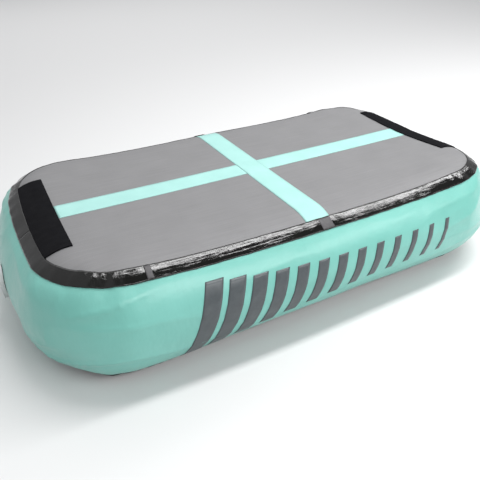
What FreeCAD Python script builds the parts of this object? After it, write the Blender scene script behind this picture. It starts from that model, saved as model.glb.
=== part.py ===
import FreeCAD, Part
import math
import os
from FreeCAD import Placement, Rotation, Vector

# An inflatable air block: two panels tied together by threads, joined round the edge by a bulging side
# wall, with tapes over the seams, marking stripes and hook strips on top and an inflation valve in one end.
# Millimetres. Origin at the centre of the underside, +X along the mat away from the valve, +Z up.

# ---- the mat's outline and section
LENGTH = 1000.0
WIDTH = 580.0
HEIGHT = 200.0
CORNER_RADIUS = 170.0
SIDE_BOW = 16.0
END_BOW = 22.0
RAIL_RADIUS = HEIGHT / 2

# ---- sheet thicknesses
PANEL_THICKNESS = 1.2
TAPE_THICKNESS = 0.6
STRIPE_THICKNESS = 0.5
INNER_TAPE_THICKNESS = 0.8
HOOK_THICKNESS = 2.0

# ---- angles on the rail's section, 0 facing outwards and 90 facing up, in degrees
SEAM_ANGLE = 60.0
TAPE_HALF_ANGLE = 7.0
INNER_TAPE_HALF_ANGLE = 10.0
PATCH_HALF_ANGLE = 6.0
LAP_PATCH_HALF_ANGLE = 46.0
FLAT_ANGLE = 90.0

# ---- what lies on the top
STRIPE_WIDTH = 48.0
BRIDGE_RAMP = 1.5
HOOK_LENGTH = 266.0
HOOK_INNER_X = 390.0

# ---- where the seam tape's lengths meet
FRONT_LEFT_JOINT_X = -308.0
FRONT_MIDDLE_JOINT_X = 10.0
END_JOINT_Y = 28.0
TAPE_PATCH_WIDTH = 24.0
WALL_LAP_X = -150.0
WALL_LAP_WIDTH = 50.0

# ---- the threads inside
THREAD_RADIUS = 0.6
THREAD_PITCH = 40.0
THREAD_ROWS_X = 19
THREAD_ROWS_Y = 9

# ---- the valve, in radii and in distances out from the wall's outer face
VALVE_HEIGHT = 95.0
VALVE_HOLE_RADIUS = 17.0
FLANGE_RADIUS = 30.0
FLANGE_TOP = 6.5
RECESS_RADIUS = 26.0
RECESS_FLOOR = 3.0
GASKET_THICKNESS = 1.0
GASKET_RADIUS = 29.0
BARREL_RADIUS = 16.5
BARREL_DEPTH = 34.0
SOCKET_RADIUS = 13.0
HUB_RADIUS = 4.5
HUB_BORE = 2.7
HUB_TOP = -24.5
HUB_THICKNESS = 4.0
ARM_WIDTH = 3.0
ARMS = 3
ARM_OVERLAP = 1.0
BASE_RADIUS = 28.0
BASE_COLLAR_RADIUS = 20.0
BASE_BORE = 16.8
BASE_DEPTH = 9.0
BASE_COLLAR_DEPTH = 24.0
BASE_OVERLAP = 1.0
VALVE_REACH_ANGLE = 30.0

# ---- the stem and what is on it
STEM_RADIUS = 2.3
STEM_TOP = -9.0
BUTTON_RADIUS = 5.0
BUTTON_THICKNESS = 3.0
BUTTON_SLOT = 1.0
CUP_RADIUS = 5.2
CUP_THICKNESS = 1.8
CUP_BORE = 2.6
SEAL_RADIUS = 15.5
SEAL_THICKNESS = 2.0
SEAL_BORE = 2.4
RETAINER_RADIUS = 9.0
RETAINER_THICKNESS = 2.0
STEM_HEAD_RADIUS = 3.6
STEM_HEAD_THICKNESS = 1.5
SPRING_RADIUS = 3.9
SPRING_WIRE_RADIUS = 0.4
SPRING_TURNS = 4.0
SPRING_GAP = 0.05

# ---- the screw cap and its tether
CAP_RADIUS = 25.4
CAP_FACE = 7.0
CAP_UNDERSIDE = 4.6
CAP_BOSS_RADIUS = 17.6
CAP_BOSS_BOTTOM = 3.6
CAP_SKIRT_RADIUS = 12.4
CAP_SKIRT_WALL = 2.0
CAP_SKIRT_BOTTOM = -2.0
CAP_NOTCHES = 20
CAP_NOTCH_RADIUS = 1.0
GRIP_OUTER_RADIUS = 20.0
GRIP_POCKET_DEPTH = 1.4
GRIP_BAR_HALF_WIDTH = 3.0
CAP_GASKET_INNER = 14.0
CAP_GASKET_OUTER = 17.0
TETHER_BOTTOM = 3.4
TETHER_TOP = 4.2
TETHER_RING_INNER = 18.0
TETHER_RING_OUTER = 21.0
TETHER_STRAP_INNER = 22.2
TETHER_STRAP_OUTER = 24.6
TETHER_STRAP_SWEEP = 270.0
PEG_RADIUS = 1.3
PEG_HOLE_RADIUS = 1.6
PEG_BOTTOM = 1.9
PEG_HOLE_BOTTOM = 1.7

BIG = 2000.0
UP = Vector(0, 0, 1)


# ---- the outline: four long shallow arcs joined by four tangent corner arcs
def outline_arcs():
    """Eight (centre x, centre y, radius, start angle, sweep), in radians, anticlockwise from the +X end."""
    side = ((LENGTH / 2) ** 2 + SIDE_BOW**2) / (2 * SIDE_BOW)
    end = ((WIDTH / 2) ** 2 + END_BOW**2) / (2 * END_BOW)
    side_y = WIDTH / 2 - side
    end_x = LENGTH / 2 - end
    # the corner's centre lies where a circle about each long arc's centre meets the other
    to_side = side - CORNER_RADIUS
    to_end = end - CORNER_RADIUS
    gap = math.hypot(end_x, side_y)
    along = (to_side**2 - to_end**2 + gap**2) / (2 * gap)
    across = math.sqrt(to_side**2 - along**2)
    unit_x = end_x / gap
    unit_y = -side_y / gap
    corner_x = unit_x * along - unit_y * across
    corner_y = side_y + unit_y * along + unit_x * across
    if corner_x < 0 or corner_y < 0:
        corner_x = unit_x * along + unit_y * across
        corner_y = side_y + unit_y * along - unit_x * across
    low = math.atan2(corner_y, corner_x - end_x)
    high = math.atan2(corner_y - side_y, corner_x)
    turn = math.pi
    return {
        "right_end": (end_x, 0, end, -low, 2 * low),
        "rear_right": (corner_x, corner_y, CORNER_RADIUS, low, high - low),
        "rear": (0, side_y, side, high, turn - 2 * high),
        "rear_left": (-corner_x, corner_y, CORNER_RADIUS, turn - high, high - low),
        "left_end": (-end_x, 0, end, turn - low, 2 * low),
        "front_left": (-corner_x, -corner_y, CORNER_RADIUS, turn + low, high - low),
        "front": (0, -side_y, side, turn + high, turn - 2 * high),
        "front_right": (corner_x, -corner_y, CORNER_RADIUS, 2 * turn - high, high - low),
    }


ARCS = outline_arcs()


# ---- layers of the rail, all on circles about the rail's centre line
def on_rail(radius, angle, arc_radius):
    """A point of the rail's section, at a radius and an angle in degrees, in the plane y = 0."""
    turn = math.radians(angle)
    out = arc_radius - RAIL_RADIUS + radius * math.cos(turn)
    return Vector(out, 0, RAIL_RADIUS + radius * math.sin(turn))


def rail_segment(name, inner, outer, low, high):
    """The layer from radius inner to outer and angle low to high, along one arc of the outline."""
    x, y, arc_radius, start, sweep = ARCS[name]
    middle = (low + high) / 2

    def curve(radius, a, b):
        points = [on_rail(radius, angle, arc_radius) for angle in (a, middle, b)]
        return Part.Arc(*points).toShape()

    ends = [on_rail(r, a, arc_radius) for r, a in ((outer, high), (inner, high), (inner, low), (outer, low))]
    wire = Part.Wire([
        curve(outer, low, high),
        Part.makeLine(ends[0], ends[1]),
        curve(inner, high, low),
        Part.makeLine(ends[2], ends[3]),
    ])
    solid = Part.Face(wire).revolve(Vector(0, 0, 0), UP, math.degrees(sweep))
    solid.Placement = Placement(Vector(x, y, 0), Rotation(UP, math.degrees(start)))
    return solid


def rail_ring(inner, outer, low, high):
    """The same layer all the way round the mat."""
    pieces = [rail_segment(name, inner, outer, low, high) for name in ARCS]
    return pieces[0].multiFuse(pieces[1:])


def flat_area(bottom, top):
    """A slab over the flat of the panel, inside the rail's centre line."""
    edges = []
    for x, y, arc_radius, start, sweep in ARCS.values():
        radius = arc_radius - RAIL_RADIUS
        points = [
            Vector(x + radius * math.cos(a), y + radius * math.sin(a), bottom)
            for a in (start, start + sweep / 2, start + sweep)
        ]
        edges.append(Part.Arc(*points).toShape())
    return Part.Face(Part.Wire(edges)).extrude(Vector(0, 0, top - bottom))


def skin(inner, outer, edge_angle):
    """A layer over the top that rolls over the rail down to edge_angle."""
    flat = flat_area(RAIL_RADIUS + inner, RAIL_RADIUS + outer)
    return flat.fuse(rail_ring(inner, outer, edge_angle, FLAT_ANGLE))


def block(x_low, x_high, y_low, y_high):
    """A tall block over a rectangle of the plan, for cutting layers to length."""
    return Part.makeBox(x_high - x_low, y_high - y_low, 2 * BIG, Vector(x_low, y_low, -BIG))


def underneath(shape):
    """The shape mirrored from the top of the mat to its underside."""
    return shape.mirror(Vector(0, 0, RAIL_RADIUS), UP)


# ---- the envelope
def top_panel():
    return skin(RAIL_RADIUS - PANEL_THICKNESS, RAIL_RADIUS, SEAM_ANGLE)


def side_wall():
    ring = rail_ring(RAIL_RADIUS - PANEL_THICKNESS, RAIL_RADIUS, -SEAM_ANGLE, SEAM_ANGLE)
    return ring.cut(valve_disc(VALVE_HOLE_RADIUS, -FLANGE_RADIUS, FLANGE_RADIUS))


def side_wall_lap_patch():
    outer = RAIL_RADIUS + TAPE_THICKNESS
    strip = rail_segment("rear", RAIL_RADIUS, outer, -LAP_PATCH_HALF_ANGLE, LAP_PATCH_HALF_ANGLE)
    return strip.common(block(WALL_LAP_X, WALL_LAP_X + WALL_LAP_WIDTH, 0, BIG))


def drop_stitch_threads():
    length = HEIGHT - 2 * PANEL_THICKNESS
    threads = []
    for i in range(THREAD_ROWS_X):
        for j in range(THREAD_ROWS_Y):
            x = (i - (THREAD_ROWS_X - 1) / 2) * THREAD_PITCH
            y = (j - (THREAD_ROWS_Y - 1) / 2) * THREAD_PITCH
            threads.append(Part.makeCylinder(THREAD_RADIUS, length, Vector(x, y, PANEL_THICKNESS)))
    return Part.makeCompound(threads)


def inner_seam_tape():
    outer = RAIL_RADIUS - PANEL_THICKNESS
    low = SEAM_ANGLE - INNER_TAPE_HALF_ANGLE
    high = SEAM_ANGLE + INNER_TAPE_HALF_ANGLE
    return rail_ring(outer - INNER_TAPE_THICKNESS, outer, low, high)


# ---- the tape over the seam, in six lengths, and the squares that cover where they meet
def seam_tape_lengths():
    """Name to solid. The layout is the same after half a turn about the middle."""
    low = SEAM_ANGLE - TAPE_HALF_ANGLE
    high = SEAM_ANGLE + TAPE_HALF_ANGLE
    ring = rail_ring(RAIL_RADIUS, RAIL_RADIUS + TAPE_THICKNESS, low, high)
    regions = {
        "front_left": block(-BIG, FRONT_LEFT_JOINT_X, -BIG, -END_JOINT_Y),
        "front_middle": block(FRONT_LEFT_JOINT_X, FRONT_MIDDLE_JOINT_X, -BIG, 0),
        "front_right": block(FRONT_MIDDLE_JOINT_X, BIG, -BIG, END_JOINT_Y),
        "rear_right": block(-FRONT_LEFT_JOINT_X, BIG, END_JOINT_Y, BIG),
        "rear_middle": block(-FRONT_MIDDLE_JOINT_X, -FRONT_LEFT_JOINT_X, 0, BIG),
        "rear_left": block(-BIG, -FRONT_MIDDLE_JOINT_X, -END_JOINT_Y, BIG),
    }
    return {name: ring.common(region) for name, region in regions.items()}


def tape_joint_patches():
    """Squares over the joints on the long sides; at the ends the lengths simply meet."""
    low = SEAM_ANGLE - PATCH_HALF_ANGLE
    high = SEAM_ANGLE + PATCH_HALF_ANGLE
    inner = RAIL_RADIUS + TAPE_THICKNESS
    outer = inner + TAPE_THICKNESS
    half = TAPE_PATCH_WIDTH / 2
    patches = []
    for arc, sign in (("front", 1), ("rear", -1)):
        strip = rail_segment(arc, inner, outer, low, high)
        for joint in (FRONT_LEFT_JOINT_X, FRONT_MIDDLE_JOINT_X):
            x = sign * joint
            patches.append(strip.common(block(x - half, x + half, -BIG, BIG)))
    return Part.makeCompound(patches)


# ---- what lies on the top
def stripe_long():
    half = STRIPE_WIDTH / 2
    layer = flat_area(HEIGHT, HEIGHT + STRIPE_THICKNESS)
    return layer.common(block(-HOOK_INNER_X, HOOK_INNER_X, -half, half))


def stripe_cross():
    """Runs from tape to tape over the roll of the rail, and steps over the long stripe at the middle."""
    half = STRIPE_WIDTH / 2
    step = half + 2 * BRIDGE_RAMP
    crest = half + BRIDGE_RAMP
    top_edge = SEAM_ANGLE + TAPE_HALF_ANGLE
    band = skin(RAIL_RADIUS, RAIL_RADIUS + STRIPE_THICKNESS, top_edge).common(block(-half, half, -BIG, BIG))
    band = band.cut(block(-half, half, -step, step))
    lower = [(-step, 0), (-crest, 1), (crest, 1), (step, 0)]
    points = [Vector(-half, y, HEIGHT + level * STRIPE_THICKNESS) for y, level in lower]
    points += [point + Vector(0, 0, STRIPE_THICKNESS) for point in reversed(points)]
    bridge = Part.Face(Part.makePolygon(points + points[:1])).extrude(Vector(STRIPE_WIDTH, 0, 0))
    return band.fuse(bridge)


def hook_strips():
    """Left and right: a straight inner edge, and an outer edge that meets the seam tape."""
    layer = skin(RAIL_RADIUS, RAIL_RADIUS + HOOK_THICKNESS, SEAM_ANGLE + TAPE_HALF_ANGLE)
    half = HOOK_LENGTH / 2
    left = layer.common(block(-BIG, -HOOK_INNER_X, -half, half))
    right = layer.common(block(HOOK_INNER_X, BIG, -half, half))
    return left, right


# ---- the valve, drawn along +Z and then laid out of the left end
def disc(radius, bottom, top, bore=0.0):
    solid = Part.makeCylinder(radius, top - bottom, Vector(0, 0, bottom))
    if bore:
        solid = solid.cut(Part.makeCylinder(bore, top - bottom, Vector(0, 0, bottom)))
    return solid


def on_valve(shape):
    """Lays a shape drawn along +Z, from the wall's outer face, along -X out of the left end."""
    place = Placement(Vector(-LENGTH / 2, 0, VALVE_HEIGHT), Rotation(Vector(0, 1, 0), -90))
    shape.Placement = place.multiply(shape.Placement)
    return shape


def valve_disc(radius, bottom, top, bore=0.0):
    return on_valve(disc(radius, bottom, top, bore))


def wall_layer(inner, outer):
    """A layer of the rail behind and in front of the valve, for shaping what lies against the wall."""
    return rail_segment("left_end", inner, outer, -VALVE_REACH_ANGLE, VALVE_REACH_ANGLE)


def outer_gasket():
    ring = valve_disc(GASKET_RADIUS, -FLANGE_RADIUS, FLANGE_RADIUS, VALVE_HOLE_RADIUS)
    return wall_layer(RAIL_RADIUS, RAIL_RADIUS + GASKET_THICKNESS).common(ring)


def inner_gasket():
    outer = RAIL_RADIUS - PANEL_THICKNESS
    ring = valve_disc(BASE_RADIUS, -FLANGE_RADIUS, FLANGE_RADIUS, VALVE_HOLE_RADIUS)
    return wall_layer(outer - GASKET_THICKNESS, outer).common(ring)


def valve_base():
    """The nut inside the mat, which pulls the flange down on the wall."""
    limit = RAIL_RADIUS - PANEL_THICKNESS - GASKET_THICKNESS
    flange = valve_disc(BASE_RADIUS, -BASE_DEPTH, 0).common(wall_layer(limit - 3 * BASE_DEPTH, limit))
    collar = valve_disc(BASE_COLLAR_RADIUS, -BASE_COLLAR_DEPTH, BASE_OVERLAP - BASE_DEPTH)
    return flange.fuse(collar).cut(valve_disc(BASE_BORE, -BARREL_DEPTH, FLANGE_TOP))


def valve_body():
    """Flange with a recess for the cap, a barrel through the wall, and a spider that guides the stem."""
    flange = valve_disc(FLANGE_RADIUS, -FLANGE_RADIUS, FLANGE_TOP)
    flange = flange.cut(wall_layer(RAIL_RADIUS / 2, RAIL_RADIUS + GASKET_THICKNESS))
    flange = flange.cut(valve_disc(RECESS_RADIUS, RECESS_FLOOR, FLANGE_TOP))
    body = flange.fuse(valve_disc(BARREL_RADIUS, -BARREL_DEPTH, RECESS_FLOOR))
    body = body.cut(valve_disc(SOCKET_RADIUS, -BARREL_DEPTH, RECESS_FLOOR))
    peg_hole = Part.makeCylinder(PEG_HOLE_RADIUS, RECESS_FLOOR, peg_place(PEG_HOLE_BOTTOM))
    body = body.cut(on_valve(peg_hole))
    spider = disc(HUB_RADIUS, HUB_TOP - HUB_THICKNESS, HUB_TOP)
    corner = Vector(0, -ARM_WIDTH / 2, HUB_TOP - HUB_THICKNESS)
    for i in range(ARMS):
        arm = Part.makeBox(SOCKET_RADIUS + ARM_OVERLAP, ARM_WIDTH, HUB_THICKNESS, corner)
        arm.rotate(Vector(0, 0, 0), UP, 360.0 / ARMS * i)
        spider = spider.fuse(arm)
    spider = spider.cut(disc(HUB_BORE, HUB_TOP - HUB_THICKNESS, HUB_TOP))
    return body.fuse(on_valve(spider))


def valve_stem():
    bottom = -BARREL_DEPTH - SEAL_THICKNESS - RETAINER_THICKNESS
    rod = disc(STEM_RADIUS, bottom - STEM_HEAD_THICKNESS / 2, STEM_TOP - BUTTON_THICKNESS / 2)
    head = disc(STEM_HEAD_RADIUS, bottom - STEM_HEAD_THICKNESS, bottom)
    button = disc(BUTTON_RADIUS, STEM_TOP - BUTTON_THICKNESS, STEM_TOP)
    corner = Vector(-BIG / 2, -BUTTON_SLOT / 2, STEM_TOP - BUTTON_SLOT)
    slot = Part.makeBox(BIG, BUTTON_SLOT, BUTTON_SLOT, corner)
    return on_valve(rod.fuse(head).fuse(button.cut(slot)))


def spring_cup():
    top = STEM_TOP - BUTTON_THICKNESS
    return valve_disc(CUP_RADIUS, top - CUP_THICKNESS, top, CUP_BORE)


def seal_disc():
    return valve_disc(SEAL_RADIUS, -BARREL_DEPTH - SEAL_THICKNESS, -BARREL_DEPTH, SEAL_BORE)


def seal_retainer():
    top = -BARREL_DEPTH - SEAL_THICKNESS
    return valve_disc(RETAINER_RADIUS, top - RETAINER_THICKNESS, top, SEAL_BORE)


def valve_spring():
    """A coil between the spider's hub and the cup under the stem's button."""
    bottom = HUB_TOP + SPRING_GAP + SPRING_WIRE_RADIUS
    top = STEM_TOP - BUTTON_THICKNESS - CUP_THICKNESS - SPRING_GAP - SPRING_WIRE_RADIUS
    height = top - bottom
    path = Part.Wire(Part.makeHelix(height / SPRING_TURNS, height, SPRING_RADIUS).Edges)
    first = path.Edges[0]
    direction = first.tangentAt(first.FirstParameter)
    circle = Part.makeCircle(SPRING_WIRE_RADIUS, Vector(SPRING_RADIUS, 0, 0), direction)
    coil = path.makePipeShell([Part.Wire([circle])], True, True)
    coil.translate(Vector(0, 0, bottom))
    return on_valve(coil)


# ---- the cap
def valve_cap():
    plate = disc(CAP_RADIUS, CAP_UNDERSIDE, CAP_FACE)
    boss = disc(CAP_BOSS_RADIUS, CAP_BOSS_BOTTOM, CAP_UNDERSIDE)
    skirt = disc(CAP_SKIRT_RADIUS, CAP_SKIRT_BOTTOM, CAP_BOSS_BOTTOM, CAP_SKIRT_RADIUS - CAP_SKIRT_WALL)
    cap = plate.fuse(boss).fuse(skirt)
    pocket = disc(GRIP_OUTER_RADIUS, CAP_FACE - GRIP_POCKET_DEPTH, CAP_FACE)
    corner = Vector(-BIG / 2, -GRIP_BAR_HALF_WIDTH, CAP_FACE - GRIP_POCKET_DEPTH)
    bar = Part.makeBox(BIG, 2 * GRIP_BAR_HALF_WIDTH, GRIP_POCKET_DEPTH, corner)
    cap = cap.cut(pocket.cut(bar))
    for i in range(CAP_NOTCHES):
        angle = 2 * math.pi * i / CAP_NOTCHES
        centre = Vector(CAP_RADIUS * math.cos(angle), CAP_RADIUS * math.sin(angle), CAP_UNDERSIDE)
        cap = cap.cut(Part.makeCylinder(CAP_NOTCH_RADIUS, CAP_FACE - CAP_UNDERSIDE, centre))
    return on_valve(cap)


def cap_gasket():
    return valve_disc(CAP_GASKET_OUTER, RECESS_FLOOR, CAP_BOSS_BOTTOM, CAP_GASKET_INNER)


def peg_place(height):
    """Where the tether's peg enters the flange: low on the recess floor."""
    return Vector(-(TETHER_STRAP_INNER + TETHER_STRAP_OUTER) / 2, 0, height)


def cap_tether():
    """A ring that the cap turns in, and a strap that winds round it in the recess to its peg."""
    ring = disc(TETHER_RING_OUTER, TETHER_BOTTOM, TETHER_TOP, TETHER_RING_INNER)
    thickness = TETHER_TOP - TETHER_BOTTOM
    foot = Vector(0, 0, TETHER_BOTTOM)
    strap = Part.makeCylinder(TETHER_STRAP_OUTER, thickness, foot, UP, TETHER_STRAP_SWEEP)
    strap = strap.cut(disc(TETHER_STRAP_INNER, TETHER_BOTTOM, TETHER_TOP))
    strap.rotate(Vector(0, 0, 0), UP, 180.0)
    width = TETHER_STRAP_OUTER - TETHER_STRAP_INNER
    length = TETHER_STRAP_OUTER - TETHER_RING_INNER - width / 2
    bridge = Part.makeBox(width, length, thickness, Vector(0, TETHER_RING_INNER + width / 4, TETHER_BOTTOM))
    bridge = bridge.common(disc(TETHER_STRAP_OUTER, TETHER_BOTTOM, TETHER_TOP))
    peg = Part.makeCylinder(PEG_RADIUS, TETHER_TOP - PEG_BOTTOM, peg_place(PEG_BOTTOM))
    return on_valve(ring.fuse(strap).fuse(bridge).fuse(peg))


# ---- all the nodes
def nodes():
    top = top_panel()
    inner_tape = inner_seam_tape()
    patches = tape_joint_patches()
    hook_left, hook_right = hook_strips()
    parts = {
        "top_panel": top,
        "bottom_panel": underneath(top),
        "side_wall": side_wall(),
        "side_wall_lap_patch": side_wall_lap_patch(),
        "drop_stitch_threads": drop_stitch_threads(),
        "inner_seam_tape_top": inner_tape,
        "inner_seam_tape_bottom": underneath(inner_tape),
        "tape_joint_patches_top": patches,
        "tape_joint_patches_bottom": underneath(patches),
        "stripe_long": stripe_long(),
        "stripe_cross": stripe_cross(),
        "hook_strip_left": hook_left,
        "hook_strip_right": hook_right,
        "outer_gasket": outer_gasket(),
        "inner_gasket": inner_gasket(),
        "valve_base": valve_base(),
        "valve_body": valve_body(),
        "valve_stem": valve_stem(),
        "spring_cup": spring_cup(),
        "valve_spring": valve_spring(),
        "seal_disc": seal_disc(),
        "seal_retainer": seal_retainer(),
        "valve_cap": valve_cap(),
        "cap_gasket": cap_gasket(),
        "cap_tether": cap_tether(),
    }
    for name, tape in seam_tape_lengths().items():
        parts["seam_tape_top_" + name] = tape
        parts["seam_tape_bottom_" + name] = underneath(tape)
    return parts


os.makedirs("parts", exist_ok=True)
for node, shape in nodes().items():
    shape.exportStep("parts/" + node + ".step")
    print(node, len(shape.Solids), round(shape.Volume, 1), "valid" if shape.isValid() else "NOT VALID")
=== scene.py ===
import bmesh
import bpy
import math
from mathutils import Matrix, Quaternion, Vector, noise

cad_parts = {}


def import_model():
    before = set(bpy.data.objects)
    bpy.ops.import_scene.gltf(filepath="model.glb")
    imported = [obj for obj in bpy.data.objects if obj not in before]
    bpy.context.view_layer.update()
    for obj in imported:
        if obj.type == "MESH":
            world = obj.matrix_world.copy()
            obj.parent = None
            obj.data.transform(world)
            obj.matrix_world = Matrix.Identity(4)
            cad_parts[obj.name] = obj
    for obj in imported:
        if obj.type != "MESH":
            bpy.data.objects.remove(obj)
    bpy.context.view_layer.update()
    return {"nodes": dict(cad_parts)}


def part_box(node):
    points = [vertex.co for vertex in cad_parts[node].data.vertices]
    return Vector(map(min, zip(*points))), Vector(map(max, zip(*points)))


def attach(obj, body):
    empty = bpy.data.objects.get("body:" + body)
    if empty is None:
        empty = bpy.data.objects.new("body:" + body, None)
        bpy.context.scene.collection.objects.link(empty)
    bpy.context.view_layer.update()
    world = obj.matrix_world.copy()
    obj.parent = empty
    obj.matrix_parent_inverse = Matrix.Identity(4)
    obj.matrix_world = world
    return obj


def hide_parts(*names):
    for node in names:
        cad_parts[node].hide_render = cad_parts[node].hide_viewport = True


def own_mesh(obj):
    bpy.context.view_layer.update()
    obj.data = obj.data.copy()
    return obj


# The air block as it looks when pumped hard: the panels, side wall, tapes, stripes and hook strips are
# made again here as puffed, wrinkled sheets on the same section as the CAD solids. The valve keeps its
# CAD parts. Metres throughout, in the frame's own axes.

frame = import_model()

# ---- sizes read from the frame
WALL_LOW, WALL_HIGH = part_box("side_wall")
LENGTH = WALL_HIGH[0] - WALL_LOW[0]
WIDTH = WALL_HIGH[1] - WALL_LOW[1]
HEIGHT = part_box("top_panel")[1][2]
RAIL = HEIGHT / 2
HOOK_LOW, HOOK_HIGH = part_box("hook_strip_right")
HOOK_INNER_X = HOOK_LOW[0]
HOOK_HALF = HOOK_HIGH[1]
STRIPE_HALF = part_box("stripe_cross")[1][0]
VALVE_LOW, VALVE_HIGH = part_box("valve_body")
VALVE_CENTRE = Vector((-LENGTH / 2, 0, (VALVE_LOW[2] + VALVE_HIGH[2]) / 2))
FLANGE_RADIUS = (VALVE_HIGH[2] - VALVE_LOW[2]) / 2

# ---- the hole that lets the valve's barrel through the wall
VALVE_HOLE = 0.0171

# ---- the outline's driving sizes, as in the CAD
CORNER_RADIUS = 0.170
SIDE_BOW = 0.016
END_BOW = 0.022

# ---- sheet thicknesses
PANEL = 0.0012
TAPE = 0.0006
INNER_TAPE = 0.0008
STRIPE = 0.0005
HOOK = 0.0020
PRINT = 0.00025

# ---- gaps between sheets: joint patches over the tape, inner tape under the wall, lap and print over it
PATCH_GAP = 0.0014
INNER_TAPE_GAP = 0.0010
LAP_GAP = 0.0001
PRINT_GAP = 0.0004

# ---- points nearer than this are one point
WELD = 0.00003

# ---- angles on the rail's section, in degrees: 0 faces outwards and 90 faces up
SEAM = 60.0
TAPE_HALF = 7.0
PATCH_HALF = 6.0
INNER_TAPE_HALF = 10.0
LAP_HALF = 46.0
FLAT = 90.0

# ---- where the tape's lengths meet, in x along the near side and in y across the end, the widths of the
# patches over these joints, and the place and width of the wall's lap
FRONT_LEFT_JOINT = -0.308
FRONT_MIDDLE_JOINT = 0.010
END_JOINT = 0.028
PATCH_WIDTH = 0.024
NARROW_PATCH = 0.010
LAP_X = -0.150
LAP_WIDTH = 0.050

# ---- how the pumped block departs from its plain section. The lower rail's lift sets in as the wall
# turns to face a side, and again from the corner arc's centre towards the side's middle.
CORNER_HUMP = 0.012
HUMP_REACH = 0.100
HUMP_INSET = 0.071
UNDERSIDE_LIFT = 0.0116
LIFT_REACH = 0.030
LIFT_FACING = (0.5, 0.98)
LIFT_ALONG = (1.0, 0.25)
LEFT_CORNER_SLACK = 0.008
RIGHT_CORNER_SLACK = 0.016
END_SLACK = 0.005

# ---- crumpled stretches of seam tape: distance round the outline and half length
CRUMPLED = ((1.74, 0.075), (2.13, 0.045), (2.445, 0.030))

# ---- heights of the wall's wrinkles, everywhere and added at the corners. A fold's crest is narrower as
# its sharpness grows, and puckers fade within so many degrees of the tape. The corners' share of them is
# the top's raise at the outer edge's place, drawn in by the two shares.
SWELL = 0.0014
FOLD = 0.0008
PUCKER = 0.0012
CORNER_RIPPLE = 0.0030
CORNER_FOLD = 0.0036
CORNER_PUCKER = 0.0014
FOLD_SHARPNESS = 9
PUCKER_REACH = 9.0
HUMP_SHARE_X = 0.93
HUMP_SHARE_Y = 0.88

# ---- heights of the seam tape's crinkles, how far its edges stray, in degrees on average, and how much of
# that shows at the edge on the panel, and heights of the hook strips' pile
TAPE_CRINKLE = 0.00022
TAPE_GRAIN = 0.00016
TAPE_CRUSH = 0.0009
WAVER = 0.6
PANEL_EDGE_SHARE = 0.4
PILE_FUZZ = 0.00035
PILE_WAVE = 0.0002


def smooth(low, high, value):
    """0 below low, 1 above high, and an even curve between."""
    x = min(max((value - low) / (high - low), 0.0), 1.0)
    return x * x * (3 - 2 * x)


# ---- the outline: four shallow arcs joined by four tangent corner arcs
def outline_arcs():
    """The arcs, anticlockwise from the middle of the end away from the valve, each as its centre, radius,
    starting angle and sweep. Then the rear right corner's centre and angles, and the end's and side's
    centres and radii."""
    side = ((LENGTH / 2) ** 2 + SIDE_BOW**2) / (2 * SIDE_BOW)
    end = ((WIDTH / 2) ** 2 + END_BOW**2) / (2 * END_BOW)
    side_y = WIDTH / 2 - side
    end_x = LENGTH / 2 - end
    to_side = side - CORNER_RADIUS
    to_end = end - CORNER_RADIUS
    gap = math.hypot(end_x, side_y)
    along = (to_side**2 - to_end**2 + gap**2) / (2 * gap)
    across = math.sqrt(to_side**2 - along**2)
    unit_x, unit_y = end_x / gap, -side_y / gap
    corner_x = unit_x * along + unit_y * across
    corner_y = side_y + unit_y * along - unit_x * across
    low = math.atan2(corner_y, corner_x - end_x)
    high = math.atan2(corner_y - side_y, corner_x)
    turn = math.pi
    arcs = [
        (end_x, 0, end, 0, low),
        (corner_x, corner_y, CORNER_RADIUS, low, high - low),
        (0, side_y, side, high, turn - 2 * high),
        (-corner_x, corner_y, CORNER_RADIUS, turn - high, high - low),
        (-end_x, 0, end, turn - low, 2 * low),
        (-corner_x, -corner_y, CORNER_RADIUS, turn + low, high - low),
        (0, -side_y, side, turn + high, turn - 2 * high),
        (corner_x, -corner_y, CORNER_RADIUS, 2 * turn - high, high - low),
        (end_x, 0, end, -low, low),
    ]
    return arcs, Vector((corner_x, corner_y)), (low, high), (end_x, side_y, end, side)


ARCS, CORNER, (CORNER_LOW, CORNER_HIGH), (END_X, SIDE_Y, END_RADIUS, SIDE_RADIUS) = outline_arcs()
AROUND = sum(radius * sweep for _, _, radius, _, sweep in ARCS)


def outline(s):
    """The rail's centre line at distance s round the outside of the mat, and the way out from it."""
    s %= AROUND
    for x, y, radius, start, sweep in ARCS:
        if s <= radius * sweep:
            break
        s -= radius * sweep
    angle = start + s / radius
    out = Vector((math.cos(angle), math.sin(angle)))
    return Vector((x, y)) + out * (radius - RAIL), out


def outside(x, y):
    """How far a point of the plan lies outside the rail's centre line, and the way out."""
    px, py = abs(x), abs(y)
    if math.atan2(py, px - END_X) < CORNER_LOW:
        centre, radius = Vector((END_X, 0)), END_RADIUS
    elif math.atan2(py - SIDE_Y, px) > CORNER_HIGH:
        centre, radius = Vector((0, SIDE_Y)), SIDE_RADIUS
    else:
        centre, radius = CORNER, CORNER_RADIUS
    arm = Vector((px, py)) - centre
    out = arm.normalized()
    signed = Vector((math.copysign(out.x, x), math.copysign(out.y, y)))
    return arm.length - (radius - RAIL), signed


def halved(low, high, short_of):
    """The place between low and high where short_of stops being true."""
    for _ in range(40):
        middle = (low + high) / 2
        if short_of(middle):
            low = middle
        else:
            high = middle
    return (low + high) / 2


def edge_point(s):
    """The outermost point of the plan at distance s round the outline."""
    centre, out = outline(s)
    return centre + out * RAIL


def s_where(axis, value, low, high):
    """Distance round the outline, between low and high, where the outer edge's x or y is value."""
    rising = edge_point(high)[axis] > edge_point(low)[axis]
    return halved(low, high, lambda s: (edge_point(s)[axis] < value) == rising)


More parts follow.
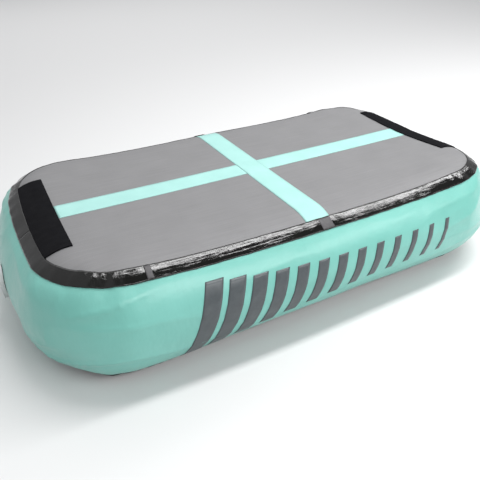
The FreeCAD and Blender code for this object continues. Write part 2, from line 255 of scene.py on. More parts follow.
# ---- how the pumped mat swells
HUMPS = [
    Vector((x * (LENGTH / 2 - HUMP_INSET), y * (WIDTH / 2 - HUMP_INSET)))
    for x in (-1, 1)
    for y in (-1, 1)
]


def corner_weight(x, y):
    """1 at the middle of a raised corner, falling to 0 away from it."""
    return max(math.exp(-((Vector((x, y)) - hump).length / HUMP_REACH) ** 2 / 2) for hump in HUMPS)


def puffed(point):
    """Raises the corners above the flat of the top, and lifts the lower rail between the corners."""
    x, y, z = point
    if z > RAIL:
        return Vector((x, y, z + CORNER_HUMP * corner_weight(x, y) * (z / RAIL - 1)))
    distance, out = outside(x, y)
    between = smooth(*LIFT_FACING, abs(out.y)) * smooth(*LIFT_ALONG, abs(x) / CORNER.x)
    lift = UNDERSIDE_LIFT * between * smooth(-LIFT_REACH, LIFT_REACH / 2, distance)
    return Vector((x, y, z + lift * (1 - z / RAIL)))


def rail(s, angle, off):
    """A point on the rail at an angle in degrees, off the wall's outer face, before it swells. The wall
    bulges a little less round the corners, and at the valve's end except beside the valve."""
    centre, out = outline(s)
    turn = math.radians(angle)
    flat = centre + out * (RAIL + off) * math.cos(turn)
    point = Vector((flat.x, flat.y, RAIL + (RAIL + off) * math.sin(turn)))
    corner = (2 * out.x * out.y) ** 2
    if out.x > 0:
        slack = RIGHT_CORNER_SLACK * corner * smooth(-30.0, 15.0, angle)
    else:
        slack = LEFT_CORNER_SLACK * corner
        from_valve = (point - VALVE_CENTRE).length
        slack += END_SLACK * out.x**6 * smooth(1.2 * FLANGE_RADIUS, 4 * FLANGE_RADIUS, from_valve)
    held_in = slack * smooth(SEAM - TAPE_HALF, 15.0, abs(angle))
    return point - Vector((out.x, out.y, 0)) * held_in


def top(x, y, off):
    """A point on the top panel over a place in the plan, before it swells."""
    distance, out = outside(x, y)
    if distance <= 0:
        return Vector((x, y, HEIGHT + off))
    lean = distance / RAIL
    rise = math.sqrt(1 - lean * lean)
    return Vector((x + out.x * lean * off, y + out.y * lean * off, RAIL + (RAIL + off) * rise))


# ---- wrinkles, as heights along the surface's own normal
def grain(s, height, along, across, shift=(0, 0, 0)):
    """Noise from -1 to 1 that closes on itself round the mat, with so many cells to the metre along and
    across it. Another shift gives another pattern."""
    turn = 2 * math.pi * s / AROUND
    ring = AROUND / (2 * math.pi) * along
    place = Vector((math.cos(turn) * ring, math.sin(turn) * ring, height * across))
    return noise.noise(place + Vector(shift))


def wall_relief(s, angle):
    """Broad swells, ripples at the corners, curved folds, and puckers beside the seams. The wall is
    smooth round the valve."""
    edge = edge_point(s)
    corner = corner_weight(edge.x * HUMP_SHARE_X, edge.y * HUMP_SHARE_Y)
    height = math.radians(angle) * RAIL
    swell = SWELL * grain(s, height, 5.0, 7.0)
    ripple = CORNER_RIPPLE * corner * grain(s, height, 17.0, 5.0, (7, 3, 1))
    bend = 0.8 * grain(s, height, 4.0, 6.0, (3, 8, 5))
    ridge = 1 - abs(grain(s, height, 5.0, 22.0, (5, 1, bend)))
    from_seam = smooth(SEAM, SEAM - 25, abs(angle))
    fold = (FOLD + CORNER_FOLD * corner) * ridge**FOLD_SHARPNESS * from_seam
    near_seam = math.exp(-abs(abs(angle) - SEAM + TAPE_HALF) / PUCKER_REACH)
    pucker = (PUCKER + CORNER_PUCKER * corner) * near_seam * grain(s, height, 34.0, 6.0, (2, 9, 4))
    from_valve = (Vector((edge.x, edge.y, RAIL + height)) - VALVE_CENTRE).length
    away = smooth(FLANGE_RADIUS, 3 * FLANGE_RADIUS, from_valve)
    return (swell + ripple + fold + pucker) * away


def crumple(s):
    """1 where the near seam tape is crumpled, beside its joints and at the start of a corner, else 0."""
    return max(math.exp(-(((s % AROUND - place) / reach) ** 4)) for place, reach in CRUMPLED)


def tape_relief(s, angle):
    """Crinkles of the seam tape: fine ones, long ones along it, and crushed ones where it is crumpled."""
    height = math.radians(angle) * RAIL
    fine = grain(s, height, 95.0, 60.0, (1, 5, 8))
    lengthwise = grain(s, height, 14.0, 150.0, (4, 4, 2))
    crushed = grain(s, height, 75.0, 55.0, (6, 2, 9))
    smooth_tape = TAPE_CRINKLE * (1 + fine) + TAPE_GRAIN * (1 + lengthwise)
    return smooth_tape + TAPE_CRUSH * crumple(s) * (1 + crushed)


def waver(s, edge):
    """How far an edge of the seam tape strays, in degrees, WAVER on average. edge picks one."""
    return WAVER + 0.6 * grain(s, edge, 16.0, 1.0) + 0.3 * grain(s, edge, 60.0, 1.0)


# ---- meshes
def clean(mesh):
    """Joins points that coincide, drops faces without area and turns every face outwards."""
    edited = bmesh.new()
    edited.from_mesh(mesh)
    bmesh.ops.remove_doubles(edited, verts=edited.verts, dist=WELD)
    bmesh.ops.dissolve_degenerate(edited, edges=edited.edges, dist=WELD / 3)
    bmesh.ops.recalc_face_normals(edited, faces=edited.faces)
    edited.to_mesh(mesh)
    edited.free()


def finish_piece(name, verts, faces, uvs, material, face_points):
    """A piece on the mat. Its first face_points points are its face and the rest its underside, and it
    is smooth but for the edges that join the two. On a closed sheet, u runs on across the joint."""
    mesh = bpy.data.meshes.new(name)
    mesh.from_pydata(verts, [], faces)
    layer = mesh.uv_layers.new(name="UVMap")
    for polygon in mesh.polygons:
        polygon.use_smooth = len({index < face_points for index in polygon.vertices}) == 1
        corners = [uvs[index] for index in polygon.vertices]
        far = max(u for u, v in corners)
        for loop, (u, v) in zip(polygon.loop_indices, corners):
            layer.data[loop].uv = (u + AROUND if far - u > AROUND / 2 else u, v)
    clean(mesh)
    mesh.materials.append(material)
    piece = bpy.data.objects.new(name, mesh)
    bpy.context.scene.collection.objects.link(piece)
    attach(piece, "mat")
    return piece


def sheet(name, place, across, along, thickness, material, uv, closed=False, folded=False):
    """A sheet with two faces and closed edges. place(u, v, off) gives its points, u and v from 0 to 1,
    off from the underside, 0, to the face, thickness. A closed sheet joins its last column to its first.
    In a folded one the last row lies double, so it has no edge there."""
    columns = along if closed else along + 1
    rows = across + 1
    verts, uvs, faces = [], [], []
    for off in (thickness, 0.0):
        for i in range(columns):
            for j in range(rows):
                verts.append(place(i / along, j / across, off))
                uvs.append(uv(i / along, j / across))
    layer = columns * rows

    def at(i, j, side):
        return side * layer + (i % columns) * rows + j

    for i in range(along):
        for j in range(across):
            faces.append((at(i, j, 0), at(i + 1, j, 0), at(i + 1, j + 1, 0), at(i, j + 1, 0)))
            faces.append((at(i, j + 1, 1), at(i + 1, j + 1, 1), at(i + 1, j, 1), at(i, j, 1)))
        faces.append((at(i, 0, 1), at(i + 1, 0, 1), at(i + 1, 0, 0), at(i, 0, 0)))
        if not folded:
            faces.append((at(i, across, 0), at(i + 1, across, 0), at(i + 1, across, 1), at(i, across, 1)))
    if not closed:
        for j in range(across):
            faces.append((at(0, j, 0), at(0, j + 1, 0), at(0, j + 1, 1), at(0, j, 1)))
            faces.append((at(along, j + 1, 0), at(along, j, 0), at(along, j, 1), at(along, j + 1, 1)))
    return finish_piece(name, verts, faces, uvs, material, layer)


def mirrored(point):
    """The matching point on the other face of the mat."""
    return Vector((point.x, point.y, HEIGHT - point.z))


# ---- materials
PANEL_WARP = 0.0024
PANEL_WEFT = 0.0019
WALL_WARP = 0.0018
WALL_WEFT = 0.0015


def new_material(name, colour, roughness, **sockets):
    """A material with these uniform values. A socket is named with _ for each space."""
    material = bpy.data.materials.new(name)
    material.use_nodes = True
    shader = material.node_tree.nodes["Principled BSDF"]
    shader.inputs["Base Color"].default_value = (*colour, 1.0)
    shader.inputs["Roughness"].default_value = roughness
    for socket, value in sockets.items():
        shader.inputs[socket.replace("_", " ")].default_value = value
    return material


class Nodes:
    """Adds texture, colour and bump nodes to one material."""

    def __init__(self, material, coordinates="UV"):
        self.tree = material.node_tree
        self.shader = self.tree.nodes["Principled BSDF"]
        self.source = self.tree.nodes.new("ShaderNodeTexCoord").outputs[coordinates]
        self.normal = None

    def add(self, kind, **inputs):
        """A node with its inputs set, or linked where the value is another node's output."""
        node = self.tree.nodes.new(kind)
        for name, value in inputs.items():
            socket = node.inputs[name.replace("_", " ")]
            if hasattr(value, "is_linked"):
                self.tree.links.new(value, socket)
            else:
                socket.default_value = value
        return node

    def noise(self, scale, detail=3.0, roughness=0.5):
        """Noise with so many cells to the metre along U and V (or X, Y and Z)."""
        stretched = self.add("ShaderNodeMapping", Vector=self.source, Scale=scale).outputs["Vector"]
        node = self.add(
            "ShaderNodeTexNoise", Vector=stretched, Scale=1.0, Detail=detail, Roughness=roughness,
        )
        return node.outputs["Fac"]

    def bands(self, direction, period, distortion):
        """Bands across X or Y, period apart."""
        scale = math.pi / 10 / period
        node = self.add(
            "ShaderNodeTexWave", Vector=self.source, Scale=scale, Distortion=distortion, Detail=1.0,
        )
        node.bands_direction = direction
        return node.outputs["Fac"]

    def weave(self, warp, weft, distortion):
        """Threads that cross at right angles, warp apart along X and weft apart along Y."""
        across = self.bands("X", warp, distortion)
        return self.maths("MAXIMUM", across, self.bands("Y", weft, distortion))

    def maths(self, operation, a, b):
        """a and b joined by an operation. Each is a number or another node's output."""
        node = self.tree.nodes.new("ShaderNodeMath")
        node.operation = operation
        for socket, value in zip(node.inputs, (a, b)):
            if hasattr(value, "is_linked"):
                self.tree.links.new(value, socket)
            else:
                socket.default_value = value
        return node.outputs[0]

    def ramp(self, value, low, high):
        """Stretches value so that low becomes 0 and high becomes 1."""
        node = self.add("ShaderNodeMapRange", Value=value, From_Min=low, From_Max=high)
        return node.outputs["Result"]

    def bump(self, height, distance, strength):
        """Relief distance high at height 1, on top of any bump added before."""
        node = self.add("ShaderNodeBump", Height=height, Distance=distance, Strength=strength)
        if self.normal:
            self.tree.links.new(self.normal, node.inputs["Normal"])
        self.normal = node.outputs["Normal"]
        self.tree.links.new(self.normal, self.shader.inputs["Normal"])

    def colour(self, factor, low, high):
        """Base colour from low to high as factor goes from 0 to 1."""
        node = self.tree.nodes.new("ShaderNodeMix")
        node.data_type = "RGBA"
        self.tree.links.new(factor, node.inputs["Factor"])
        colours = [socket for socket in node.inputs if socket.type == "RGBA"]
        colours[0].default_value = (*low, 1.0)
        colours[1].default_value = (*high, 1.0)
        result = next(socket for socket in node.outputs if socket.type == "RGBA")
        self.tree.links.new(result, self.shader.inputs["Base Color"])

    def roughness(self, factor, low, high):
        """Roughness from low to high as factor goes from 0 to 1."""
        node = self.add("ShaderNodeMapRange", Value=factor, To_Min=low, To_Max=high)
        self.tree.links.new(node.outputs["Result"], self.shader.inputs["Roughness"])


def panel_fabric():
    """PVC-coated woven fabric: a fine square weave with faint rows along the mat."""
    material = new_material("panel_fabric", (0.26, 0.26, 0.265), 0.55)
    nodes = Nodes(material)
    weave = nodes.weave(PANEL_WARP, PANEL_WEFT, 0.3)
    rows = nodes.noise((9.0, 420.0, 1.0), 4.0, 0.6)
    mottle = nodes.noise((14.0, 14.0, 1.0), 5.0, 0.6)
    tone = nodes.maths("ADD", nodes.maths("MULTIPLY", rows, 0.55), nodes.maths("MULTIPLY", mottle, 0.45))
    nodes.colour(nodes.ramp(tone, 0.3, 0.7), (0.158, 0.157, 0.161), (0.206, 0.205, 0.209))
    nodes.roughness(mottle, 0.48, 0.62)
    nodes.bump(weave, 0.00018, 0.55)
    nodes.bump(rows, 0.00030, 0.5)
    return material


def wall_fabric():
    """Glossier PVC in mint, with a fine grain and soft creases."""
    gloss = {"Specular_IOR_Level": 0.45, "Coat_Weight": 0.20, "Coat_Roughness": 0.25}
    material = new_material("wall_fabric", (0.17, 0.47, 0.41), 0.36, **gloss)
    nodes = Nodes(material)
    mottle = nodes.noise((7.0, 10.0, 1.0), 4.0, 0.55)
    nodes.colour(nodes.ramp(mottle, 0.3, 0.7), (0.155, 0.440, 0.380), (0.190, 0.495, 0.435))
    nodes.roughness(nodes.noise((30.0, 30.0, 1.0), 4.0), 0.28, 0.40)
    nodes.bump(nodes.noise((24.0, 14.0, 1.0), 3.0), 0.0040, 0.5)
    nodes.bump(nodes.noise((110.0, 45.0, 1.0), 4.0, 0.6), 0.0008, 0.35)
    nodes.bump(nodes.weave(WALL_WARP, WALL_WEFT, 0.4), 0.00012, 0.5)
    nodes.bump(nodes.noise((900.0, 900.0, 1.0), 2.0), 0.00015, 0.5)
    return material


def tape_film():
    """Black PVC tape with a high gloss, finely crinkled across its length."""
    material = new_material("tape_film", (0.006, 0.006, 0.0055), 0.10, Specular_IOR_Level=0.5)
    nodes = Nodes(material)
    nodes.roughness(nodes.noise((60.0, 90.0, 1.0), 4.0), 0.05, 0.13)
    nodes.bump(nodes.noise((8.0, 260.0, 1.0), 3.0, 0.55), 0.0006, 0.6)
    nodes.bump(nodes.noise((70.0, 130.0, 1.0), 4.0, 0.6), 0.0006, 0.4)
    nodes.bump(nodes.noise((380.0, 110.0, 1.0), 3.0, 0.6), 0.0004, 0.7)
    return material


def patch_film():
    """The dull patches over the tape's joints."""
    material = new_material("patch_film", (0.060, 0.058, 0.062), 0.5)
    nodes = Nodes(material)
    scuff = nodes.noise((220.0, 220.0, 1.0), 4.0)
    nodes.colour(scuff, (0.042, 0.040, 0.043), (0.080, 0.077, 0.082))
    nodes.bump(scuff, 0.0003, 0.5)
    return material


def stripe_film():
    """Pale mint tape, smooth, with the panel's weave just showing through it."""
    material = new_material("stripe_film", (0.32, 0.58, 0.54), 0.45, Specular_IOR_Level=0.35)
    nodes = Nodes(material)
    weave = nodes.weave(PANEL_WARP, PANEL_WEFT, 0.3)
    mottle = nodes.noise((20.0, 20.0, 1.0), 4.0)
    nodes.colour(nodes.ramp(mottle, 0.3, 0.7), (0.30, 0.56, 0.52), (0.34, 0.61, 0.57))
    nodes.bump(weave, 0.00010, 0.3)
    nodes.bump(mottle, 0.0010, 0.2)
    return material


def hook_pile():
    """Black hook tape: a matte pile of small loops."""
    material = new_material("hook_pile", (0.006, 0.006, 0.007), 0.95, Specular_IOR_Level=0.08)
    nodes = Nodes(material)
    fuzz = nodes.noise((900.0, 900.0, 1.0), 3.0, 0.7)
    worn = nodes.noise((60.0, 60.0, 1.0), 4.0)
    nodes.colour(nodes.maths("MULTIPLY", fuzz, worn), (0.003, 0.003, 0.004), (0.016, 0.016, 0.018))
    nodes.bump(fuzz, 0.0006, 0.8)
    return material


def print_ink():
    """Dark grey ink, a little glossy, worn thin in places."""
    material = new_material("print_ink", (0.060, 0.072, 0.078), 0.40, Coat_Weight=0.2, Coat_Roughness=0.25)
    nodes = Nodes(material)
    wear = nodes.noise((60.0, 60.0, 1.0), 5.0, 0.65)
    nodes.colour(nodes.ramp(wear, 0.35, 0.75), (0.052, 0.062, 0.068), (0.074, 0.086, 0.093))
    nodes.bump(nodes.noise((22.0, 12.0, 1.0), 3.0), 0.0016, 0.35)
    return material


def moulded(name, low, high, roughness):
    """Moulded plastic or rubber with a fine spark-eroded grain."""
    material = new_material(name, high, roughness)
    nodes = Nodes(material, "Object")
    tone = nodes.noise((90.0, 90.0, 90.0), 4.0)
    nodes.colour(tone, low, high)
    nodes.roughness(tone, roughness - 0.06, roughness + 0.08)
    nodes.bump(nodes.noise((1400.0, 1400.0, 1400.0), 2.0), 0.00006, 0.5)
    return material


def yarn():
    """White polyester thread with a lengthwise twist."""
    material = new_material("yarn", (0.72, 0.72, 0.70), 0.8, Sheen_Weight=0.3)
    nodes = Nodes(material, "Object")
    twist = nodes.noise((200.0, 200.0, 900.0), 2.0)
    nodes.colour(twist, (0.60, 0.60, 0.58), (0.78, 0.78, 0.76))
    nodes.bump(twist, 0.0003, 0.6)
    return material


def spring_wire():
    """Drawn stainless wire."""
    material = new_material("spring_wire", (0.55, 0.55, 0.56), 0.25, Metallic=1.0)
    nodes = Nodes(material, "Object")
    drawn = nodes.noise((3000.0, 600.0, 600.0), 2.0)
    nodes.colour(drawn, (0.45, 0.45, 0.46), (0.62, 0.62, 0.63))
    nodes.roughness(drawn, 0.18, 0.36)
    return material


FABRIC = panel_fabric()
MINT = wall_fabric()
BLACK_TAPE = tape_film()
PATCH = patch_film()
PALE = stripe_film()
PILE = hook_pile()
INK = print_ink()

CAD_MATERIALS = {
    "drop_stitch_threads": yarn(),
    "outer_gasket": moulded("gasket_rubber", (0.018, 0.018, 0.018), (0.035, 0.035, 0.035), 0.6),
    "valve_body": moulded("valve_grey", (0.50, 0.51, 0.51), (0.58, 0.59, 0.59), 0.38),
    "valve_cap": moulded("cap_grey", (0.26, 0.26, 0.28), (0.34, 0.34, 0.36), 0.42),
    "valve_stem": moulded("inner_grey", (0.55, 0.55, 0.54), (0.66, 0.66, 0.65), 0.4),
    "cap_tether": moulded("tether_grey", (0.09, 0.09, 0.095), (0.14, 0.14, 0.145), 0.5),
    "valve_spring": spring_wire(),
}
SAME_MATERIAL = {
    "inner_gasket": "outer_gasket",
    "cap_gasket": "outer_gasket",
    "seal_disc": "outer_gasket",
    "valve_base": "valve_stem",
    "spring_cup": "valve_stem",
    "seal_retainer": "valve_stem",
}
for node, like in SAME_MATERIAL.items():
    CAD_MATERIALS[node] = CAD_MATERIALS[like]
for node, material in CAD_MATERIALS.items():
    frame["nodes"][node].data.materials.clear()
    frame["nodes"][node].data.materials.append(material)


# ---- the envelope
def panel(name, node, under):
    """A panel from the seam over the roll of the rail to the mat's middle line."""
    columns = 480
    roll_rows = 10
    flat_rows = 26
    rows = roll_rows + flat_rows
    spine_share = 1 - WIDTH / 2 / LENGTH

    def place(u, v, off):
        s = u * AROUND
        row = v * rows
        if row <= roll_rows:
            angle = SEAM + (FLAT - SEAM) * row / roll_rows
            point = rail(s, angle, off - PANEL)
            lift = wall_relief(s, -angle if under else angle) * smooth(FLAT, SEAM, angle)
            out = outline(s)[1]
            turn = math.radians(angle)
            point += Vector((out.x * math.cos(turn), out.y * math.cos(turn), math.sin(turn))) * lift
        else:
            inward = (row - roll_rows) / flat_rows
            edge = outline(s)[0]
            plan = edge.lerp(Vector((edge.x * spine_share, 0)), inward)
            point = Vector((plan.x, plan.y, HEIGHT + off - PANEL))
        return puffed(mirrored(point) if under else point)

    def uv(u, v):
        point = place(u, v, 0.0)
        return point.x, point.y

    piece = sheet(name, place, rows, columns, PANEL, FABRIC, uv, closed=True, folded=True)
    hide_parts(node)


def bored(piece, radius):
    """Cuts the valve's hole through the wall."""
    depth = 4 * FLANGE_RADIUS
    bpy.ops.mesh.primitive_cylinder_add(vertices=64, radius=radius, depth=depth, location=VALVE_CENTRE)
    cutter = bpy.context.object
    cutter.rotation_euler = (0, math.pi / 2, 0)
    hole = piece.modifiers.new("hole", "BOOLEAN")
    hole.object = cutter
    hole.operation = "DIFFERENCE"
    hole.solver = "EXACT"
    bpy.context.view_layer.update()
    depsgraph = bpy.context.evaluated_depsgraph_get()
    cut = bpy.data.meshes.new_from_object(piece.evaluated_get(depsgraph))
    piece.modifiers.clear()
    piece.data = cut
    bpy.data.objects.remove(cutter)
    clean(cut)


def side_wall():
    """The wall, one strip round the mat from the upper seam to the lower one."""
    columns = 720
    rows = 44

    def place(u, v, off):
        s = u * AROUND
        angle = SEAM - 2 * SEAM * v
        return puffed(rail(s, angle, off - PANEL + wall_relief(s, angle)))

    def uv(u, v):
        return u * AROUND, -math.radians(2 * SEAM * v) * RAIL

    piece = sheet("side_wall_puffed", place, rows, columns, PANEL, MINT, uv, closed=True)
    bored(piece, VALVE_HOLE)
    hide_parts("side_wall")


def rail_piece(
    name, node, span, angles, base, thickness, material, step, rows, taped=False, under=False,
):
    """A strip on the rail between two places round it and two angles, base above the wall's face, in
    steps along it and rows across. Seam tape is crinkled and its edges waver."""
    s_low, s_high = span
    low, high = angles
    along = max(2, round((s_high - s_low) / step))

    def place(u, v, off):
        s = s_low + (s_high - s_low) * u
        angle = high - (high - low) * v
        lift = wall_relief(s, -angle if under else angle)
        if taped:
            angle += PANEL_EDGE_SHARE * (1 - v) * waver(s, 0.0) - v * (waver(s, 5.0) - WAVER)
            lift += tape_relief(s, angle) if off > 0 else 0.0
        point = rail(s, angle, base + off + lift)
        return puffed(mirrored(point) if under else point)

    def uv(u, v):
        return s_low + (s_high - s_low) * u, -math.radians((high - low) * v) * RAIL

    closed = s_high - s_low == AROUND
    piece = sheet(name, place, rows, along, thickness, material, uv, closed)
    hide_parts(node)


# ---- the seam tapes
def tape_joints():
    """Distances round the outline of the joints at the end away from the valve, at the right of the rear
    and near its middle. The other three joints lie opposite."""
    half = AROUND / 2
    quarter = AROUND / 4
    end = s_where(1, END_JOINT, 0, quarter / 2)
    rear_right = s_where(0, -FRONT_LEFT_JOINT, quarter / 2, quarter)
    rear_middle = s_where(0, -FRONT_MIDDLE_JOINT, quarter, half - quarter / 2)
    return end, rear_right, rear_middle


def seam_tapes():
    """Six lengths above and six below. The lower ones are made in coarser steps."""
    end, rear_right, rear_middle = tape_joints()
    half = AROUND / 2
    spans = {
        "rear_right": (end, rear_right),
        "rear_middle": (rear_right, rear_middle),
        "rear_left": (rear_middle, end + half),
        "front_left": (end + half, rear_right + half),
        "front_middle": (rear_right + half, rear_middle + half),
        "front_right": (rear_middle + half, end + AROUND),
    }
    angles = (SEAM - TAPE_HALF, SEAM + TAPE_HALF)
    for where, span in spans.items():
        for side, step, rows in (("top", 0.0028, 12), ("bottom", 0.0060, 8)):
            rail_piece(
                f"tape_{side}_{where}", f"seam_tape_{side}_{where}", span, angles, 0.0, TAPE,
                BLACK_TAPE, step, rows, taped=True, under=side == "bottom",
            )


def joint_patches():
    """The patches over the joints on the long sides. The ends have plain overlaps."""
    _, rear_right, rear_middle = tape_joints()
    joints = ((rear_right, NARROW_PATCH), (rear_middle, PATCH_WIDTH))
    angles = (SEAM - PATCH_HALF, SEAM + PATCH_HALF)
    for side in ("top", "bottom"):
        for index, (joint, width) in enumerate(joints):
            for turn in (0, 1):
                at = joint + turn * AROUND / 2
                rail_piece(
                    f"joint_patch_{side}_{index}_{turn}", "tape_joint_patches_" + side,
                    (at - width / 2, at + width / 2), angles, TAPE + PATCH_GAP, TAPE,
                    PATCH, 0.002, 8, under=side == "bottom",
                )


def inner_tapes():
    """The reinforcing tapes inside the seams, each a closed ring."""
    angles = (SEAM - INNER_TAPE_HALF, SEAM + INNER_TAPE_HALF)
    base = -2 * PANEL - INNER_TAPE_GAP
    backing = moulded("backing_tape", (0.26, 0.26, 0.27), (0.33, 0.33, 0.34), 0.5)
    for side in ("top", "bottom"):
        rail_piece(
            "inner_tape_" + side, "inner_seam_tape_" + side, (0, AROUND), angles, base, INNER_TAPE,
            backing, 0.012, 6, under=side == "bottom",
        )


def lap_patch():
    """Where the wall's strip laps over its own start, on the rear."""
    quarter = AROUND / 4
    start = s_where(0, LAP_X + LAP_WIDTH, quarter / 2, quarter * 1.6)
    end = s_where(0, LAP_X, quarter / 2, quarter * 1.6)
    rail_piece(
        "wall_lap", "side_wall_lap_patch", (start, end), (-LAP_HALF, LAP_HALF), LAP_GAP, TAPE,
        MINT, 0.004, 36,
    )


# ---- what lies on the top
def edge_along(axis, fixed, limit):
    """How far out from the middle the top runs, along x or y, before it meets the tape's inner edge."""
    goal = RAIL * math.cos(math.radians(SEAM + TAPE_HALF))

    def on_panel(reach):
        place = (reach, fixed) if axis == 0 else (fixed, reach)
        return outside(*place)[0] < goal

    return halved(0.0, limit, on_panel)


def on_top(x, y, off):
    """A point off above the pumped top panel."""
    distance, out = outside(x, y)
    lift = 0.0
    if distance > 0:
        angle = math.degrees(math.acos(distance / RAIL))
        lift = wall_relief(s_near(x, y), angle) * smooth(FLAT, SEAM, angle)
    return puffed(top(x, y, off + lift))


def s_near(x, y):
    """Distance round the outline beside a place in the plan."""
    distance, out = outside(x, y)
    travelled = 0.0
    angle = math.atan2(out.y, out.x)
    for centre_x, centre_y, radius, start, sweep in ARCS:
        turn = (angle - start) % (2 * math.pi)
        if turn <= sweep + 1e-6:
            arm = Vector((x - centre_x, y - centre_y))
            if abs(arm.length - distance - radius + RAIL) < 1e-4:
                return travelled + radius * turn
        travelled += radius * sweep
    return 0.0


def stripe_long():
    """The stripe between the hook strips."""

    def spot(u, v):
        return (2 * u - 1) * HOOK_INNER_X, (2 * v - 1) * STRIPE_HALF

    def place(u, v, off):
        return on_top(*spot(u, v), off)

    piece = sheet("stripe_lengthwise", place, 10, 160, STRIPE, PALE, spot)
    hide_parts("stripe_long")


def stripe_cross():
    """The stripe from tape to tape. It steps up where it lies over the other one."""

    def spot(u, v):
        x = (2 * v - 1) * STRIPE_HALF
        return x, (1 - 2 * u) * edge_along(1, x, WIDTH / 2)

    def place(u, v, off):
        x, y = spot(u, v)
        over = STRIPE * smooth(STRIPE_HALF + 0.003, STRIPE_HALF + 0.0012, abs(y))
        return on_top(x, y, off + over)

    piece = sheet("stripe_crosswise", place, 10, 220, STRIPE, PALE, spot)
    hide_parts("stripe_cross")


def hook_strip(name, node, sign):
    """A strip from its straight inner edge to the tape, at the end on the given side of the middle."""

    def spot(u, v):
        y = (2 * u - 1) * HOOK_HALF * sign
        outer = edge_along(0, y, LENGTH / 2)
        return sign * (HOOK_INNER_X + (outer - HOOK_INNER_X) * (1 - v)), y

    def place(u, v, off):
        x, y = spot(u, v)
        if off > 0:
            off += PILE_FUZZ * noise.noise(Vector((x * 420, y * 420, 3.0)))
            off += PILE_WAVE * noise.noise(Vector((x * 90, y * 90, 8.0)))
        return on_top(x, y, off)

    piece = sheet(name, place, 36, 200, HOOK, PILE, spot)
    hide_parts(node)


# ---- the printed band on the near side: slanted bars that thin out to the right. A bar's width is a
# share of the pitch. Heights are half the bars' height, and middles are angles on the rail.
BAND_LEFT = -0.262
BAND_RIGHT = 0.282
BAND_BARS = 13
BAR_SLANT = 0.34
BAR_WIDTH_LEFT = 0.74
BAR_WIDTH_RIGHT = 0.24
BAR_HEIGHT_LEFT = 0.075
BAR_HEIGHT_RIGHT = 0.030
BAR_MIDDLE_LEFT = -3.0
BAR_MIDDLE_RIGHT = 7.0


def mixed(left, right, share):
    """From left to right, evenly, as share goes from 0 to 1."""
    return left + (right - left) * share


def band_bar(number, pitch, share):
    """One bar, share of the way from the first to the last. Its height and middle change quickly at
    first, its width evenly."""
    width = pitch * mixed(BAR_WIDTH_LEFT, BAR_WIDTH_RIGHT, share)
    settled = 1 - (1 - share) ** 3
    half_height = mixed(BAR_HEIGHT_LEFT, BAR_HEIGHT_RIGHT, settled)
    middle = mixed(BAR_MIDDLE_LEFT, BAR_MIDDLE_RIGHT, settled)
    half_angle = math.degrees(half_height / RAIL)
    centre = BAND_LEFT + pitch * (number - 0.5)
    beside = s_where(0, centre, 0.55 * AROUND, 0.95 * AROUND)

    def place(u, v, off):
        angle = middle + half_angle * (1 - 2 * v)
        rise = math.radians(angle - middle) * RAIL
        s = beside + (u - 0.5) * width + rise * BAR_SLANT
        return puffed(rail(s, angle, off + wall_relief(s, angle) + PRINT_GAP))

    def uv(u, v):
        return centre + u * width, v * 2 * half_height

    along = max(3, round(width / 0.004))
    sheet(f"band_bar_{number}", place, 20, along, PRINT, INK, uv)


def print_band():
    """The bars, evenly spaced from left to right."""
    pitch = (BAND_RIGHT - BAND_LEFT) / BAND_BARS
    for i in range(BAND_BARS):
        band_bar(i + 1, pitch, i / (BAND_BARS - 1))


# ---- the valve's spring at its CAD length; the real one shortens against the barrel's inner hub as the stem is pressed
def spring_coil():
    """A copy of the CAD spring that stays on the mat."""
    node = frame["nodes"]["valve_spring"]
    mesh = node.data.copy()
    mesh.transform(node.matrix_world)
    piece = bpy.data.objects.new("spring_coil", mesh)
    bpy.context.scene.collection.objects.link(piece)
    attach(piece, "mat")
    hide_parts("valve_spring")
    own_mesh(piece)


panel("top_panel_puffed", "top_panel", False)
panel("bottom_panel_puffed", "bottom_panel", True)
side_wall()
seam_tapes()
joint_patches()
inner_tapes()
lap_patch()
stripe_long()
stripe_cross()
hook_strip("hook_pile_left", "hook_strip_left", -1)
hook_strip("hook_pile_right", "hook_strip_right", 1)
print_band()
spring_coil()


# ---- floor, lights and camera. DIM_EDGE is where the dim side sets in and is fully dim, as the cosine of
# the angle from its middle, and HORIZON_EDGE the heights between which the sky gets brighter.
FLOOR_HALF = 6.0
FLOOR_Z = -0.0005
FLOOR_GREY = 0.70
WORLD_COLOUR = (0.97, 0.98, 1.0)
WORLD_LEVEL = 0.56
DIM_LEVEL = 0.14
DIM_SIDE = Vector((0.55, -0.42, 0.72))
DIM_EDGE = (0.55, 0.90)
HORIZON_EDGE = (0.10, 0.60)
HORIZON_SHARE = 0.82
OVERHEAD_SHARE = 1.06
CAMERA_PLACE = (-0.4703, -0.8296, 0.6292)
CAMERA_AZIMUTH = -27.97
CAMERA_ELEVATION = 32.42
CAMERA_ROLL = -0.79
CAMERA_LENS = 38.08


def studio_floor():
    """A plain pale floor just below the mat."""
    mesh = bpy.data.meshes.new("floor")
    signs = ((-1, -1), (1, -1), (1, 1), (-1, 1))
    corners = [(x * FLOOR_HALF, y * FLOOR_HALF, FLOOR_Z) for x, y in signs]
    mesh.from_pydata(corners, [], [(0, 1, 2, 3)])
    mesh.materials.append(new_material("floor_paint", (FLOOR_GREY,) * 3, 0.8))
    floor = bpy.data.objects.new("floor", mesh)
    bpy.context.scene.collection.objects.link(floor)


def softbox(name, place, width, height, power):
    """A lamp that shines straight down, width along X and height along Y."""
    light = bpy.data.lights.new(name, "AREA")
    light.shape = "RECTANGLE"
    light.size = width
    light.size_y = height
    light.energy = power
    lamp = bpy.data.objects.new(name, light)
    lamp.location = place
    bpy.context.scene.collection.objects.link(lamp)


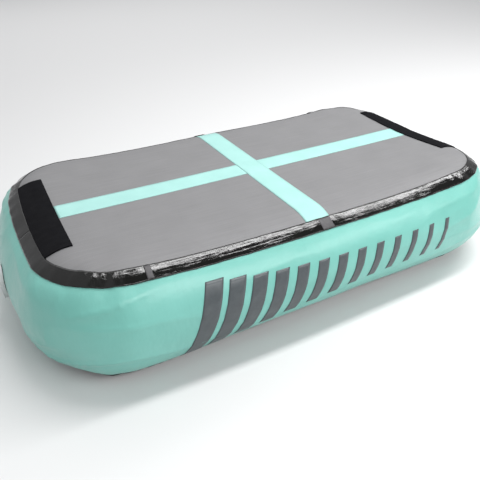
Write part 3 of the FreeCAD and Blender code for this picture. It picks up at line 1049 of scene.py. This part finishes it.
def eased(tree, value, low, high, at_low, at_high):
    """Eases from at_low to at_high as value goes from low to high."""
    node = tree.nodes.new("ShaderNodeMapRange")
    node.interpolation_type = "SMOOTHSTEP"
    node.inputs["From Min"].default_value = low
    node.inputs["From Max"].default_value = high
    node.inputs["To Min"].default_value = at_low
    node.inputs["To Max"].default_value = at_high
    tree.links.new(value, node.inputs["Value"])
    return node.outputs["Result"]


def world():
    """A pale studio, a little brighter overhead, and dim on the side that the near seam tape mirrors."""
    scene = bpy.context.scene
    scene.world = bpy.data.worlds.new("studio")
    scene.world.use_nodes = True
    tree = scene.world.node_tree
    direction = tree.nodes.new("ShaderNodeTexCoord").outputs["Generated"]
    towards = tree.nodes.new("ShaderNodeVectorMath")
    towards.operation = "DOT_PRODUCT"
    towards.inputs[1].default_value = DIM_SIDE.normalized()
    tree.links.new(direction, towards.inputs[0])
    parts = tree.nodes.new("ShaderNodeSeparateXYZ")
    tree.links.new(direction, parts.inputs[0])
    level = eased(tree, towards.outputs["Value"], *DIM_EDGE, WORLD_LEVEL, DIM_LEVEL)
    overhead = eased(tree, parts.outputs["Z"], *HORIZON_EDGE, HORIZON_SHARE, OVERHEAD_SHARE)
    product = tree.nodes.new("ShaderNodeMath")
    product.operation = "MULTIPLY"
    tree.links.new(level, product.inputs[0])
    tree.links.new(overhead, product.inputs[1])
    background = tree.nodes["Background"]
    background.inputs["Color"].default_value = (*WORLD_COLOUR, 1.0)
    tree.links.new(product.outputs[0], background.inputs["Strength"])


def camera():
    """Stands close in front of the near left corner and looks down at the mat."""
    azimuth = math.radians(CAMERA_AZIMUTH)
    elevation = math.radians(CAMERA_ELEVATION)
    level = math.cos(elevation)
    back = Vector((math.sin(azimuth) * level, -math.cos(azimuth) * level, math.sin(elevation)))
    turn = (-back).to_track_quat("-Z", "Y") @ Quaternion((0, 0, 1), math.radians(CAMERA_ROLL))
    data = bpy.data.cameras.new("camera")
    data.sensor_width = 36.0
    data.lens = CAMERA_LENS
    data.clip_start = 0.01
    viewer = bpy.data.objects.new("camera", data)
    viewer.location = CAMERA_PLACE
    viewer.rotation_mode = "QUATERNION"
    viewer.rotation_quaternion = turn
    bpy.context.scene.collection.objects.link(viewer)
    bpy.context.scene.camera = viewer


studio_floor()
world()
softbox("backdrop", (0.9, 3.2, 3.0), 5.5, 3.4, 84)
softbox("strip", (1.15, -0.16, 1.80), 2.9, 0.24, 42)
softbox("sheen", (0.90, -2.00, 1.60), 3.0, 0.9, 66)
camera()
bpy.context.scene.view_settings.view_transform = "Standard"
